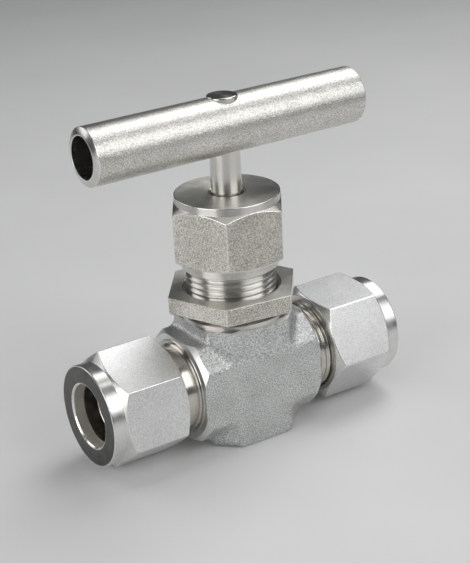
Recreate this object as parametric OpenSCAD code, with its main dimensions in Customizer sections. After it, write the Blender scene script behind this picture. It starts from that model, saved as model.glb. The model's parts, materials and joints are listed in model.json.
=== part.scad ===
// Forged straight needle valve: a twin-ferrule tube fitting at each end, a packing nut and a
// panel nut on the bonnet, and a T-bar handle. Sizes are millimetres.
// +Z runs up the stem, and the flow runs along X, from the left end at -X to the right end.
// The origin is the centre of the foot's underside. Heights named *_z are above the flow axis.

/* [Forged body] */
// Height of the flow axis above the foot's underside
axis_h = 13.2; // [13:0.1:15]
// Half width of the forging across its flat sides
forging_half = 10.9; // [10.6:0.1:11.2]
// Half width of each flat side, between its corner bevels
flat_half = 6.5; // [6:0.1:7]
// Half length of the forged arms
arm_half_len = 13.9; // [13.6:0.1:14.2]
// Radius that the arm ends are turned to
arm_end_r = 11.0; // [10.9:0.1:11.8]
// Bevel round the bottom edge of the foot
foot_bevel = 1.5; // [1:0.1:2]

/* [Bonnet] */
// Top of the forged neck
neck_top_z = 13.5; // [13:0.1:14]
// Radius of the turned boss that the panel nut stands on
boss_r = 11.1; // [11:0.1:11.5]
// Top of the boss
boss_top_z = 15.7; // [15:0.1:16]
// Outer radius of the 3/4 inch thread on the bonnet and on both ports
thread_r = 9.5; // [9.5:0.005:9.525]
// Thread pitch, 20 to the inch
pitch = 1.27; // [1.2:0.01:1.3]
// Top of the bonnet
bonnet_top_z = 35.4; // [35:0.1:35.6]
// Radius of the packing chamber
packing_r = 6.0; // [5.8:0.1:6.2]

/* [Panel nut] */
// Width across the panel nut's flats
panel_nut_af = 25.4; // [25:0.1:27]
// Thickness of the panel nut
panel_nut_t = 3.7; // [3:0.1:4.5]
// How far a corner of the panel nut is turned from +X, in degrees
panel_nut_turn = -7.8; // [-30:0.1:30]

/* [Packing nut] */
// Width across the packing nut's flats
packing_nut_af = 22.2; // [22:0.1:22.4]
// Underside of the packing nut
packing_nut_z = 24.4; // [24.2:0.1:25]
// Overall height of the packing nut
packing_nut_h = 15.6; // [15:0.1:16]
// Height of the turned collar on the packing nut
packing_nut_collar_h = 1.6; // [1:0.1:2]
// How far a corner of the packing nut is turned from +X, in degrees
packing_nut_turn = -4.6; // [-30:0.1:30]

/* [Stem and needle] */
// Radius of the polished stem
stem_r = 3.175; // [3.1:0.005:3.2]
// Turns from open to closed
turns_to_close = 4.25; // [3:0.25:4.25]
// Radius of the seat orifice
orifice_r = 2.2; // [2:0.05:2.2]
// Height of the seat
seat_z = 1.0; // [0.5:0.1:1.5]

/* [Handle bar] */
// Radius of the handle bar
bar_r = 6.0; // [5.8:0.1:6.5]
// Length of the handle bar
bar_len = 64.8; // [50:0.2:80]
// Height of the handle bar's axis
bar_z = 54.2; // [54:0.1:58]
// Radius of the bore in each end of the bar
bar_bore_r = 4.33; // [3:0.01:4.5]
// Depth of the bore in each end of the bar
bar_bore_depth = 20; // [15:0.5:20]

/* [Tube ends] */
// Radius of the tube that the fittings take
tube_r = 6.35; // [6.3:0.05:6.4]
// Width across the tube nuts' flats
tube_nut_af = 22.2; // [22:0.1:22.4]
// Distance from the stem axis to the outer face of each tube nut
end_x = 36.2; // [36:0.1:36.5]
// Length of each tube nut
tube_nut_len = 17.6; // [17:0.1:18]
// How far a corner of the left tube nut is turned from +Z, in degrees
left_nut_turn = -7.1; // [-30:0.1:30]
// How far a corner of the right tube nut is turned from +Z, in degrees
right_nut_turn = -23.5; // [-30:0.1:30]

/* [Hidden] */

$fn = 96;
hex_fn = 6;
past = 1;                 // how far a cut runs past the face that it opens
run_gap = 0.06;           // radial gap of a thread or a running fit
face_gap = 0.05;          // gap between two faces that rest on each other

forged = "darkgray";
blasted = "silver";
polished = "gainsboro";
turned = "lightgray";
ptfe = "ivory";
dark_steel = "dimgray";

// Thread form, drawn as rings
thread_depth = 0.55;
thread_flat = 0.16;
nut_bore_r = thread_r + run_gap;

// Turned ends of the arms and the ports beyond them
arm_bevel = 1.2;
port_ring_x = 14.8;
port_ring_r = 10.2;
port_relief_r = 9.1;
port_thread_x = 17.4;
port_end_x = 29.6;
port_thread_rings = 8;
socket_r = tube_r + 0.07;
socket_stop_x = 13.1;
ferrule_cone_angle = 12;
ferrule_cone_x = 23.5;

// Flow passages: a low one from the left port, the orifice, and a high one to the right port
passage_r = 2.25;
left_passage_z = -1.6;
left_passage_drop = 13.2;
right_passage_z = 1.0;
right_passage_rise = 16;
passage_start_x = 14;
orifice_bottom_z = -5.6;
chamber_r = 4.9;
stem_thread_bottom_z = 8.0;
packing_floor_z = 20.0;
stem_thread_r = 4.7;

// Bonnet thread, from above the boss to the top
bonnet_relief_z = 17.0;
bonnet_relief_r = 8.9;
bonnet_rings = 14;

// Needle and the lower end of the stem, at rest with the valve fully open
closing_travel = turns_to_close * pitch;
seat_gap = 0.03;
cone_angle = 30;
needle_contact_z = seat_z + closing_travel + seat_gap;
needle_collar_r = 3.3;
needle_point_r = 0.6;
needle_collar_z = needle_contact_z + (needle_collar_r - orifice_r) / tan(cone_angle);
needle_point_z = needle_contact_z - (orifice_r - needle_point_r) / tan(cone_angle);
needle_collar_t = 1.1;
needle_shank_r = 1.9;
needle_shank_len = 4.0;
groove_r = 1.3;
groove_w = 1.0;
groove_z = needle_collar_z + needle_collar_t + 1.3;
stem_bottom_z = needle_collar_z + needle_collar_t + face_gap;
stem_foot_r = 3.9;
stem_thread_z = 13.0;
stem_shoulder_z = packing_floor_z - face_gap;
stem_top_z = bar_z + bar_r + 0.2;
stem_edge = 0.3;
stem_socket_r = needle_shank_r + 0.05;
pin_r = 0.4;
pin_hole_r = 0.42;
pin_y = groove_r + pin_hole_r + 0.03;
pin_half_len = 3.2;

// Packing stack
packing_in_r = stem_r + 0.03;
packing_out_r = packing_r - 0.03;
packing_mid_r = (packing_in_r + packing_out_r) / 2;
v_rise = 1.3;
v_t = 1.5;
support_z = packing_floor_z + face_gap;
support_t = 1.35;
bottom_adapter_z = support_z + support_t + face_gap;
bottom_adapter_t = 1.15;
v_ring_z = bottom_adapter_z + bottom_adapter_t + face_gap;
v_pitch = v_t + face_gap;
v_ring_count = 3;
top_adapter_z = v_ring_z + v_ring_count * v_pitch;
gland_z = 30.6;
gland_top_z = bonnet_top_z + 0.7;
gland_bevel = 0.5;

// Packing nut
packing_nut_top_z = packing_nut_z + packing_nut_h;
packing_nut_collar_r = packing_nut_af / 2 - 0.1;
packing_nut_hex_z = packing_nut_z + 0.6;
packing_nut_foot_r = 10.3;
packing_nut_hole_r = 3.6;
nut_chamfer_angle = 33;

// Handle bar
bar_end_bevel = 0.6;
bar_end_r = 4.6;
bar_hole_r = stem_r + 0.02;
screw_r = 2.45;
screw_hole_r = 2.5;
screw_len = 7;
screw_key_af = 2.5;
screw_key_depth = 3;

// Tube nuts and ferrules, drawn for the right end
tube_nut_x = end_x - tube_nut_len;
tube_collar_r = 10.75;
tube_collar_x = 33.3;
tube_nut_foot_r = 10.9;
tube_bore_r = 6.65;
tube_mouth_bevel = 0.35;
ferrule_cavity_r = 8.0;
ferrule_cavity_x = 30.2;
nut_shoulder_x = 33.7;
ferrule_bore_r = tube_r + 0.07;
ferrule_out_r = 7.86;
front_nose_x = 25.2;
front_rear_x = 31.4;
front_shoulder_x = 30.3;
front_bevel_r = 7.3;
front_bevel_x = 30.5;
cone_gap = 0.04;
back_nose_x = 30.8;
back_nose_r = 6.58;
back_flange_x = 31.5;
back_rear_x = nut_shoulder_x - face_gap;
back_rear_r = 7.2;
back_bevel = 0.5;

function octagon(half, flat) = [
    [half, flat], [flat, half], [-flat, half], [-half, flat],
    [-half, -flat], [-flat, -half], [flat, -half], [half, -flat]];
function cone_r(x) = socket_r + (x - ferrule_cone_x) * tan(ferrule_cone_angle);
function hex_corner(af) = af / 2 / cos(30);

// Moves a shape drawn about the flow axis to its height above the foot
module at_axis() { translate([0, 0, axis_h]) children(); }

// Turns a shape drawn along +Z so that it lies along +X
module along_x() { rotate([0, 90, 0]) children(); }

// Ring with one groove between two thread crests, for cutting at height z
module thread_groove(r, z) {
    rotate_extrude()
        polygon([[r - thread_depth, z + pitch / 2 - thread_flat / 2],
            [r - thread_depth, z + pitch / 2 + thread_flat / 2],
            [r + past, z + pitch - thread_flat / 2 + past * 0.8],
            [r + past, z + thread_flat / 2 - past * 0.8]]);
}

// Grooves of a thread of radius r, starting at height z
module thread_grooves(r, z, count) {
    for (i = [0 : count - 1]) thread_groove(r, z + i * pitch);
}

// Hexagonal blank along Z with a corner turned by turn
module hex_bar(af, z, h, turn) {
    rotate([0, 0, turn]) translate([0, 0, z]) cylinder(r = hex_corner(af), h = h, $fn = hex_fn);
}

// Two crossed bevelled bars: the arms along X and the neck and foot along Z
module forging() {
    intersection() {
        along_x() translate([0, 0, -arm_half_len])
            linear_extrude(2 * arm_half_len) polygon(octagon(forging_half, flat_half));
        along_x() rotate_extrude() polygon([[0, -arm_half_len], [arm_end_r, -arm_half_len],
            [arm_end_r + arm_bevel, -arm_half_len + arm_bevel],
            [arm_end_r + 2 * arm_bevel, -arm_half_len + arm_bevel],
            [arm_end_r + 2 * arm_bevel, arm_half_len - arm_bevel],
            [arm_end_r + arm_bevel, arm_half_len - arm_bevel],
            [arm_end_r, arm_half_len], [0, arm_half_len]]);
    }
    intersection() {
        translate([0, 0, -axis_h]) linear_extrude(axis_h + neck_top_z)
            polygon(octagon(forging_half, flat_half));
        foot_profile(0);
        foot_profile(90);
    }
}

// Upright slab with its two bottom edges bevelled, turned by turn about Z
module foot_profile(turn) {
    side = forging_half + past;
    foot = forging_half - foot_bevel;
    rotate([0, 0, turn]) rotate([90, 0, 0]) translate([0, 0, -side])
        linear_extrude(2 * side) polygon([[-foot, -axis_h], [foot, -axis_h],
            [foot + foot_bevel + past, foot_bevel + past - axis_h],
            [side, neck_top_z + past], [-side, neck_top_z + past],
            [-foot - foot_bevel - past, foot_bevel + past - axis_h]]);
}

// Turned port beyond the right arm, with its ring, relief and thread
module port() {
    along_x() difference() {
        rotate_extrude() polygon([[0, 0], [port_ring_r, 0], [port_ring_r, port_ring_x],
            [port_relief_r, port_ring_x], [port_relief_r, port_thread_x - 0.4],
            [thread_r, port_thread_x], [thread_r, port_end_x - 0.5],
            [thread_r - 0.5, port_end_x], [0, port_end_x]]);
        thread_grooves(thread_r, port_thread_x, port_thread_rings);
    }
}

// Tube socket and ferrule cone in the right port
module port_socket() {
    along_x() rotate_extrude() polygon([[0, socket_stop_x], [socket_r, socket_stop_x],
        [socket_r, ferrule_cone_x], [cone_r(port_end_x + past), port_end_x + past],
        [0, port_end_x + past]]);
}

// Boss and threaded bonnet above the neck
module bonnet() {
    difference() {
        rotate_extrude() polygon([[0, 0], [thread_r, 0], [thread_r, neck_top_z],
            [boss_r, neck_top_z], [boss_r, boss_top_z], [bonnet_relief_r, boss_top_z],
            [bonnet_relief_r, bonnet_relief_z - 0.6],
            [thread_r, bonnet_relief_z], [thread_r, bonnet_top_z - 0.6],
            [thread_r - 0.6, bonnet_top_z], [0, bonnet_top_z]]);
        thread_grooves(thread_r, bonnet_relief_z, bonnet_rings);
    }
}

// Everything bored down the stem axis
module stem_bores() {
    translate([0, 0, orifice_bottom_z]) cylinder(r = orifice_r, h = seat_z - orifice_bottom_z + past);
    translate([0, 0, seat_z]) cylinder(r = chamber_r, h = stem_thread_bottom_z - seat_z);
    translate([0, 0, stem_thread_bottom_z - past])
        cylinder(r = stem_thread_r + run_gap, h = packing_floor_z - stem_thread_bottom_z + 2 * past);
    translate([0, 0, packing_floor_z]) cylinder(r = packing_r, h = bonnet_top_z - packing_floor_z + past);
}

// Slanted passages between the sockets and the orifice
module passages() {
    translate([-passage_start_x, 0, left_passage_z]) rotate([0, 90 + left_passage_drop, 0])
        cylinder(r = passage_r, h = passage_start_x + 2);
    translate([passage_start_x, 0, right_passage_z]) rotate([0, -90 + right_passage_rise, 0])
        cylinder(r = passage_r, h = passage_start_x);
}

module body() {
    color(forged) at_axis() difference() {
        union() {
            forging();
            port();
            mirror([1, 0, 0]) port();
            bonnet();
        }
        port_socket();
        mirror([1, 0, 0]) port_socket();
        stem_bores();
        passages();
    }
}

module panel_nut() {
    bottom_z = boss_top_z + 0.15;
    color(blasted) at_axis() difference() {
        hex_bar(panel_nut_af, bottom_z, panel_nut_t, panel_nut_turn);
        translate([0, 0, bottom_z - past]) cylinder(r = nut_bore_r, h = panel_nut_t + 2 * past);
        rotate_extrude() polygon([[nut_bore_r - past, bottom_z + panel_nut_t - 0.8 - past],
            [nut_bore_r + 0.8 + past, bottom_z + panel_nut_t + past],
            [nut_bore_r - past, bottom_z + panel_nut_t + past]]);
    }
}

// Ring of the packing stack from its half section
module packing_ring(points, tint) {
    color(tint) at_axis() rotate_extrude() polygon(points);
}

// Lower and upper edges of a V-shaped face at height z
function v_up(z) = [[packing_in_r, z], [packing_mid_r, z + v_rise], [packing_out_r, z]];
function v_back(z) = [[packing_out_r, z], [packing_mid_r, z + v_rise], [packing_in_r, z]];

module packing_support_ring() {
    packing_ring([[packing_in_r, support_z], [packing_out_r, support_z],
        [packing_out_r, support_z + support_t], [packing_in_r, support_z + support_t]], turned);
}

module packing_bottom_adapter() {
    packing_ring(concat([[packing_in_r, bottom_adapter_z], [packing_out_r, bottom_adapter_z]],
        v_back(bottom_adapter_z + bottom_adapter_t)), ptfe);
}

// V-ring number i of the stack, counted from the bottom
module packing_v_ring(i) {
    z = v_ring_z + (i - 1) * v_pitch;
    packing_ring(concat(v_up(z), v_back(z + v_t)), ptfe);
}

module packing_top_adapter() {
    packing_ring(concat(v_up(top_adapter_z), [[packing_out_r, gland_z - face_gap],
        [packing_in_r, gland_z - face_gap]]), ptfe);
}

module packing_gland() {
    packing_ring([[packing_in_r, gland_z], [packing_out_r, gland_z],
        [packing_out_r, gland_top_z - gland_bevel], [packing_out_r - gland_bevel, gland_top_z],
        [packing_in_r, gland_top_z]], turned);
}

module packing_nut() {
    corner = hex_corner(packing_nut_af);
    collar_z = packing_nut_top_z - packing_nut_collar_h;
    chamfer_drop = (corner + past - packing_nut_collar_r) * tan(nut_chamfer_angle);
    foot_rise = corner + past - packing_nut_foot_r;
    inside_z = gland_top_z + face_gap;
    color(blasted) at_axis() difference() {
        intersection() {
            union() {
                hex_bar(packing_nut_af, packing_nut_z, collar_z - packing_nut_z, packing_nut_turn);
                translate([0, 0, packing_nut_z])
                    cylinder(r = packing_nut_collar_r, h = packing_nut_h);
            }
            rotate_extrude() polygon([[0, packing_nut_z], [packing_nut_foot_r, packing_nut_z],
                [packing_nut_foot_r, packing_nut_hex_z],
                [corner + past, packing_nut_hex_z + foot_rise],
                [corner + past, collar_z - chamfer_drop], [packing_nut_collar_r, collar_z],
                [packing_nut_collar_r, packing_nut_top_z], [0, packing_nut_top_z]]);
        }
        translate([0, 0, packing_nut_z - past])
            cylinder(r = nut_bore_r, h = inside_z - packing_nut_z + past);
        translate([0, 0, inside_z - past])
            cylinder(r = packing_nut_hole_r, h = packing_nut_top_z - inside_z + 2 * past);
    }
}

module needle_tip() {
    collar_top_z = needle_collar_z + needle_collar_t;
    color(polished) at_axis() difference() {
        rotate_extrude() polygon([[0, needle_point_z], [needle_point_r, needle_point_z],
            [needle_collar_r, needle_collar_z], [needle_collar_r, collar_top_z],
            [needle_shank_r, collar_top_z], [needle_shank_r, collar_top_z + needle_shank_len],
            [0, collar_top_z + needle_shank_len]]);
        rotate_extrude() translate([groove_r, groove_z - groove_w / 2])
            square([needle_shank_r, groove_w]);
    }
}

module stem() {
    socket_top_z = stem_bottom_z + needle_shank_len + 0.3;
    color(polished) at_axis() difference() {
        rotate_extrude() polygon([[0, stem_bottom_z], [stem_foot_r, stem_bottom_z],
            [stem_foot_r, stem_thread_z], [stem_thread_r, stem_thread_z + 0.5],
            [stem_thread_r, stem_shoulder_z], [stem_r, stem_shoulder_z],
            [stem_r, stem_top_z - stem_edge], [stem_r - stem_edge, stem_top_z], [0, stem_top_z]]);
        translate([0, 0, stem_bottom_z - past])
            cylinder(r = stem_socket_r, h = socket_top_z - stem_bottom_z + past);
        translate([-stem_foot_r - past, pin_y, groove_z]) along_x()
            cylinder(r = pin_hole_r, h = 2 * (stem_foot_r + past));
    }
}

module tip_retaining_pin() {
    color(dark_steel) at_axis() translate([-pin_half_len, pin_y, groove_z]) along_x()
        cylinder(r = pin_r, h = 2 * pin_half_len);
}

module handle_bar() {
    half = bar_len / 2;
    color(blasted) at_axis() translate([0, 0, bar_z]) difference() {
        along_x() rotate_extrude() polygon([[0, -half], [bar_end_r, -half],
            [bar_r, -half + bar_end_bevel], [bar_r, half - bar_end_bevel],
            [bar_end_r, half], [0, half]]);
        for (side = [-1, 1]) translate([side * (half - bar_bore_depth / 2 + past / 2), 0, 0])
            along_x() cylinder(r = bar_bore_r, h = bar_bore_depth + past, center = true);
        cylinder(r = bar_hole_r, h = 2 * (bar_r + past), center = true);
        translate([-half + bar_bore_depth - past, 0, 0]) along_x()
            cylinder(r = screw_hole_r, h = half - bar_bore_depth + past);
    }
}

module handle_set_screw() {
    color(dark_steel) at_axis() translate([-stem_r - face_gap - screw_len, 0, bar_z]) along_x()
        difference() {
            cylinder(r = screw_r, h = screw_len);
            translate([0, 0, -past])
                cylinder(r = hex_corner(screw_key_af), h = screw_key_depth + past, $fn = hex_fn);
        }
}

// Long tapered ferrule that wedges into the port's cone
module front_ferrule() {
    color(turned) along_x() rotate_extrude() polygon([[ferrule_bore_r, front_nose_x],
        [cone_r(front_nose_x) - cone_gap, front_nose_x],
        [cone_r(front_shoulder_x) - cone_gap, front_shoulder_x],
        [ferrule_out_r, front_shoulder_x + 0.1], [ferrule_out_r, front_rear_x],
        [front_bevel_r, front_rear_x], [ferrule_bore_r, front_bevel_x]]);
}

// Short flanged ferrule that the nut pushes
module back_ferrule() {
    color(turned) along_x() rotate_extrude() polygon([[ferrule_bore_r, back_nose_x],
        [back_nose_r, back_nose_x], [front_bevel_r - 0.1, back_flange_x],
        [ferrule_out_r, back_flange_x], [ferrule_out_r, back_rear_x - back_bevel],
        [back_rear_r, back_rear_x], [ferrule_bore_r, back_rear_x]]);
}

// Tube nut with a corner turned by turn from +Z
module tube_nut(turn) {
    corner = hex_corner(tube_nut_af);
    chamfer_run = (corner + past - tube_collar_r) * tan(nut_chamfer_angle);
    foot_run = (corner + past - tube_nut_foot_r) * tan(nut_chamfer_angle);
    color(blasted) rotate([turn, 0, 0]) along_x() difference() {
        intersection() {
            union() {
                hex_bar(tube_nut_af, tube_nut_x, tube_collar_x - tube_nut_x, 0);
                translate([0, 0, tube_nut_x]) cylinder(r = tube_collar_r, h = tube_nut_len);
            }
            rotate_extrude() polygon([[0, tube_nut_x], [tube_nut_foot_r, tube_nut_x],
                [corner + past, tube_nut_x + foot_run], [corner + past, tube_collar_x - chamfer_run],
                [tube_collar_r, tube_collar_x], [tube_collar_r, end_x - 0.2],
                [tube_collar_r - 0.2, end_x], [0, end_x]]);
        }
        translate([0, 0, tube_nut_x - past])
            cylinder(r = nut_bore_r, h = ferrule_cavity_x - tube_nut_x + past);
        translate([0, 0, ferrule_cavity_x - past])
            cylinder(r = ferrule_cavity_r, h = nut_shoulder_x - ferrule_cavity_x + past);
        rotate_extrude() polygon([[0, nut_shoulder_x - past], [tube_bore_r, nut_shoulder_x - past],
            [tube_bore_r, end_x - tube_mouth_bevel], [tube_bore_r + tube_mouth_bevel, end_x],
            [tube_bore_r + tube_mouth_bevel, end_x + past], [0, end_x + past]]);
    }
}

module left_front_ferrule() { at_axis() mirror([1, 0, 0]) front_ferrule(); }
module left_back_ferrule() { at_axis() mirror([1, 0, 0]) back_ferrule(); }
module left_tube_nut() { at_axis() mirror([1, 0, 0]) tube_nut(left_nut_turn); }
module right_front_ferrule() { at_axis() front_ferrule(); }
module right_back_ferrule() { at_axis() back_ferrule(); }
module right_tube_nut() { at_axis() tube_nut(right_nut_turn); }

body();
panel_nut();
packing_support_ring();
packing_bottom_adapter();
packing_v_ring(1);  // packing_v_ring_1
packing_v_ring(2);  // packing_v_ring_2
packing_v_ring(3);  // packing_v_ring_3
packing_top_adapter();
packing_gland();
packing_nut();
needle_tip();
stem();
tip_retaining_pin();
handle_bar();
handle_set_screw();
left_front_ferrule();
left_back_ferrule();
left_tube_nut();
right_front_ferrule();
right_back_ferrule();
right_tube_nut();
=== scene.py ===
"""Needle valve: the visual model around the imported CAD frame.

Shapes are worked out in millimetres about the crossing of the flow axis and the stem axis, and
are moved to their place in the row's frame, in metres, when each mesh is made.
"""
import json
import math

import bmesh
import bpy
import numpy as np
from mathutils import Matrix, Vector


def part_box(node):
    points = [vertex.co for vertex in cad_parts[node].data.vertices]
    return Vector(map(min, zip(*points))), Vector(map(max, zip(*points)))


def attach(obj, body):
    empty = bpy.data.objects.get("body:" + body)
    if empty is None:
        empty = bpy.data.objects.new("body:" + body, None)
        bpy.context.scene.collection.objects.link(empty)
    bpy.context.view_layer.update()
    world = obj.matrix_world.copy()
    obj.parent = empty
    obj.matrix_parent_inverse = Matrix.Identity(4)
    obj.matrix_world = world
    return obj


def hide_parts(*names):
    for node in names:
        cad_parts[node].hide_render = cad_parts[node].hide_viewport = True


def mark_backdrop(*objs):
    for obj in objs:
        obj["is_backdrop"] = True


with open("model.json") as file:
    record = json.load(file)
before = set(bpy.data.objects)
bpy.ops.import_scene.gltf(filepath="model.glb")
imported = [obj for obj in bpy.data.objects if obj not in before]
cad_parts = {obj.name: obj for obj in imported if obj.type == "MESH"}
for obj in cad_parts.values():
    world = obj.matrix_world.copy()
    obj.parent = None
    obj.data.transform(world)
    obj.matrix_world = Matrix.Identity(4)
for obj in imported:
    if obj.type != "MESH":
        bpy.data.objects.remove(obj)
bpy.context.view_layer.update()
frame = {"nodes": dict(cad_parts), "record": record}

MM = 0.001
RECORD = frame["record"]
MOUNTS = {m["name"]: m for m in RECORD["mounts"]}
AXIS_H = MOUNTS["right_tube_socket"]["pos_m"][2] / MM
PLACE = Matrix.Translation((0, 0, AXIS_H * MM)) @ Matrix.Scale(MM, 4)
LOCAL = PLACE.inverted()
ALONG_X = Matrix.Rotation(math.radians(90), 4, "Y")
TO_LEFT = Matrix.Rotation(math.radians(180), 4, "Z") @ ALONG_X


def span(node):
    """Lowest and highest corner of a CAD node in millimetres, with heights from the flow axis."""
    low, high = (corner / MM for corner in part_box(node))
    shift = Vector((0, 0, AXIS_H))
    return low - shift, high - shift


# ---------------------------------------------------------------- sizes, millimetres
# The 3/4 inch thread on the bonnet and both ports, and the gap round a thread or a running fit
PITCH = 1.27
THREAD_R = 9.5
THREAD_ROOT_R = 8.92
RUN_GAP = 0.06
NUT_BORE_R = THREAD_R + RUN_GAP

# Forging: its half thickness, half the width of a flat between bevels, and the turned arm ends
FORGING_HALF = 10.9
FORGING_FLAT = 6.5
ARM_HALF = 14.6
ARM_END_R = 11.5
ARM_BEVEL = 1.3
# Widths over which the forging's edges, inner corners and foot edge are blended, the step of the
# neck's front below the arms' front, and the height over which the step fades
FORGE_EDGE = 0.5
FORGE_FILLET = 1.8
FORGE_FOOT_EDGE = 1.8
NECK_STEP = 0.18
NECK_STEP_FADE = 1.5

# Bonnet, with heights from the flow axis. Its root and the boss's root lie inside the forging.
NECK_TOP = 13.5
BOSS_R = 11.1
BOSS_TOP = 14.3
BOSS_EDGE = 0.1
BOSS_ROOT_R = BOSS_R - 1
BOSS_ROOT_FROM = NECK_TOP - 2
BONNET_ROOT_R = 6.5
BONNET_ROOT_FROM = 5
BONNET_THREAD_FROM = 16.2
PACKING_R = 6.0
PACKING_FLOOR = 20.0

# Stem bore and seat: the orifice, the chamber over it and the stem's thread bore
ORIFICE_R = 2.2
ORIFICE_BOTTOM = -5.6
SEAT_Z = 1.0
CHAMBER_R = 4.9
CHAMBER_TOP = 8.0

# Flow passages, each from the tube stop to the orifice or the chamber
PASSAGE_R = 2.25
LEFT_PASSAGE = (-14.0, 0, -1.6), (1.6, 0, -5.2)
RIGHT_PASSAGE = (14.0, 0, 1.0), (0, 0, 5.0)

# Ports, with distances from the stem axis. Their roots lie inside the arms.
PORT_ROOT_R = 8
PORT_ROOT_FROM = 6
PORT_RING_FROM = ARM_HALF - 1
PORT_RING_X = 14.8
PORT_RING_R = 10.2
PORT_RING_EDGE = 0.12
PORT_RELIEF_R = 9.1
PORT_RELIEF_EDGE = 0.3
PORT_END_X = 29.6
LEFT_THREAD_FROM = 17.2
RIGHT_THREAD_FROM = 15.3
SOCKET_R = MOUNTS["right_tube_socket"]["dims"]["r_mm"]
SOCKET_STOP_X = 13.1
CONE_X = 23.5
CONE_END_R = 7.75

# Nuts. Turns are in degrees, and a bevel at a bore's mouth is named after its nut
NUT_SLOPE = math.tan(math.radians(33))
THREAD_MOUTH = 0.4
PACKING_NUT_AF = 22.2
PACKING_NUT_TURN = -4.6
PACKING_FOOT_R = 10.3
PACKING_FOOT_H = 1.6
PACKING_FOOT_SLOPE = 0.4
PACKING_COLLAR_R = 11.0
PACKING_COLLAR_H = 1.6
PACKING_CAVITY_H = 11.75
PACKING_MOUTH = 0.35
STEM_HOLE_R = 3.6
STEM_HOLE_MOUTH = 0.25
PANEL_NUT_AF = 25.4
PANEL_NUT_TURN = -7.8
PANEL_MOUTH = 0.8
TUBE_NUT_AF = 22.2
LEFT_NUT_TURN = -7.1
RIGHT_NUT_TURN = -23.5
TUBE_FOOT_R = 10.9
TUBE_COLLAR_R = 10.75
TUBE_COLLAR_X = 33.3
TUBE_BORE_R = 6.65
TUBE_MOUTH = 0.35
NUT_SHOULDER_X = 33.7
FERRULE_CAVITY_R = 8.0
FERRULE_CAVITY_X = 30.2
# Edge bevels of the nuts: bore mouths, hexagons, and feet and rims
MOUTH_EDGE = 0.08
PANEL_MOUTH_EDGE = 0.06
TUBE_MOUTH_EDGE = 0.1
STEM_HOLE_EDGE = 0.05
HEX_EDGE = 0.14
COLLAR_FOOT_EDGE = 0.05
PACKING_FOOT_EDGE = 0.12
PACKING_RIM_EDGE = 0.2
PANEL_RIM_EDGE = 0.1
TUBE_FOOT_EDGE = 0.1
TUBE_RIM_EDGE = 0.25

# Handle bar and stem
BAR_BORE_R = 4.33
BAR_BORE_DEPTH = 20.0
BAR_END_R = 4.6
BAR_BEVEL = 0.6
BAR_EDGE = 0.12
BAR_MOUTH_EDGE = 0.15
SET_SCREW_R = 2.5
STEM_R = 3.175
STEM_THREAD_R = 4.7
STEM_THREAD_ROOT_R = 4.1
STEM_THREAD_FROM = 12.8
STEM_SHOULDER_R = 4.5
STEM_SHOULDER_GAP = 0.05
STEM_SHOULDER_EDGE = 0.3
STEM_FOOT_R = 3.9
STEM_FOOT_EDGE = 0.2
TIP_SOCKET_R = 1.95
TIP_SOCKET_DEPTH = 4.3
BAR_HOLE_REACH = 8
# The stem's domed end: how far in from its side, and down from its top, each point lies
STEM_DOME = (0, 0.3), (0.06, 0.12), (0.18, 0.03), (0.35, 0)

# Mesh fineness: steps round a turned piece, the merging distance, the edge angle from which
# shading breaks, how far large faces win over small ones, and the most of a side that a bevel takes
SEGMENTS = 192
BAR_SEGMENTS = 256
PASSAGE_SEGMENTS = 48
MERGE = 5e-4
SHARP = math.radians(40)
LARGE_FACE_WEIGHT = 90
BEVEL_SHARE = 0.45
# How far a cut runs past the face that it opens, and a joined part sinks below the face under it
PAST = 1.0
SINK = 0.01

# The forging's skin: its voxel size, how deep the crude shape lies below it, how far arms and
# neck run past their ends and how much of that is moved, and the steps that move its points
VOXEL = 0.28
SKIN_DEPTH = 0.3
OVERRUN = 3
FREE_OVERRUN = 2.5
SKIN_ROUNDS = 12
SKIN_SHARE = 0.7
SLOPE_STEP = 1e-3
LEAST_SLOPE = 0.05
# What cuts the skin: how far the arms' limit reaches past their bevel, and half the block that
# levels the neck
LIMIT_PAST = 4
NECK_CUT = (30, 30, 15)

# Which of a piece's materials a face takes: on a nut, the bar or the stem, and on the body's
# machined parts. On the body, 0 is the forged skin.
FLAT, TURNED, EDGE, FACE, BORE = range(5)
ABOUT_FLOW, ABOUT_STEM, ARM_END = 1, 2, 3


# ---------------------------------------------------------------- mesh building
def rounded(corners, steps=3):
    """Points along a path of (r, z, bevel, finish) corners. A bevelled corner becomes a short curve."""
    count = len(corners)
    points, finishes = [], []
    for i, (r, z, bevel, finish) in enumerate(corners):
        here = np.array((r, z))
        if not bevel:
            points.append(here)
            finishes.append(finish)
            continue
        for_prev = np.array(corners[i - 1][:2]) - here
        for_next = np.array(corners[(i + 1) % count][:2]) - here
        sides = []
        for side in (for_prev, for_next):
            length = max(np.linalg.norm(side), 1e-9)
            sides.append(here + side / length * min(bevel, BEVEL_SHARE * length))
        for k in range(steps + 1):
            t = k / steps
            points.append((1 - t) ** 2 * sides[0] + 2 * t * (1 - t) * here + t * t * sides[1])
            # A bevel's curve takes the edge finish, partly wear and partly a painted highlight
            finishes.append(EDGE if k < steps else finish)
    return points, finishes


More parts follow.
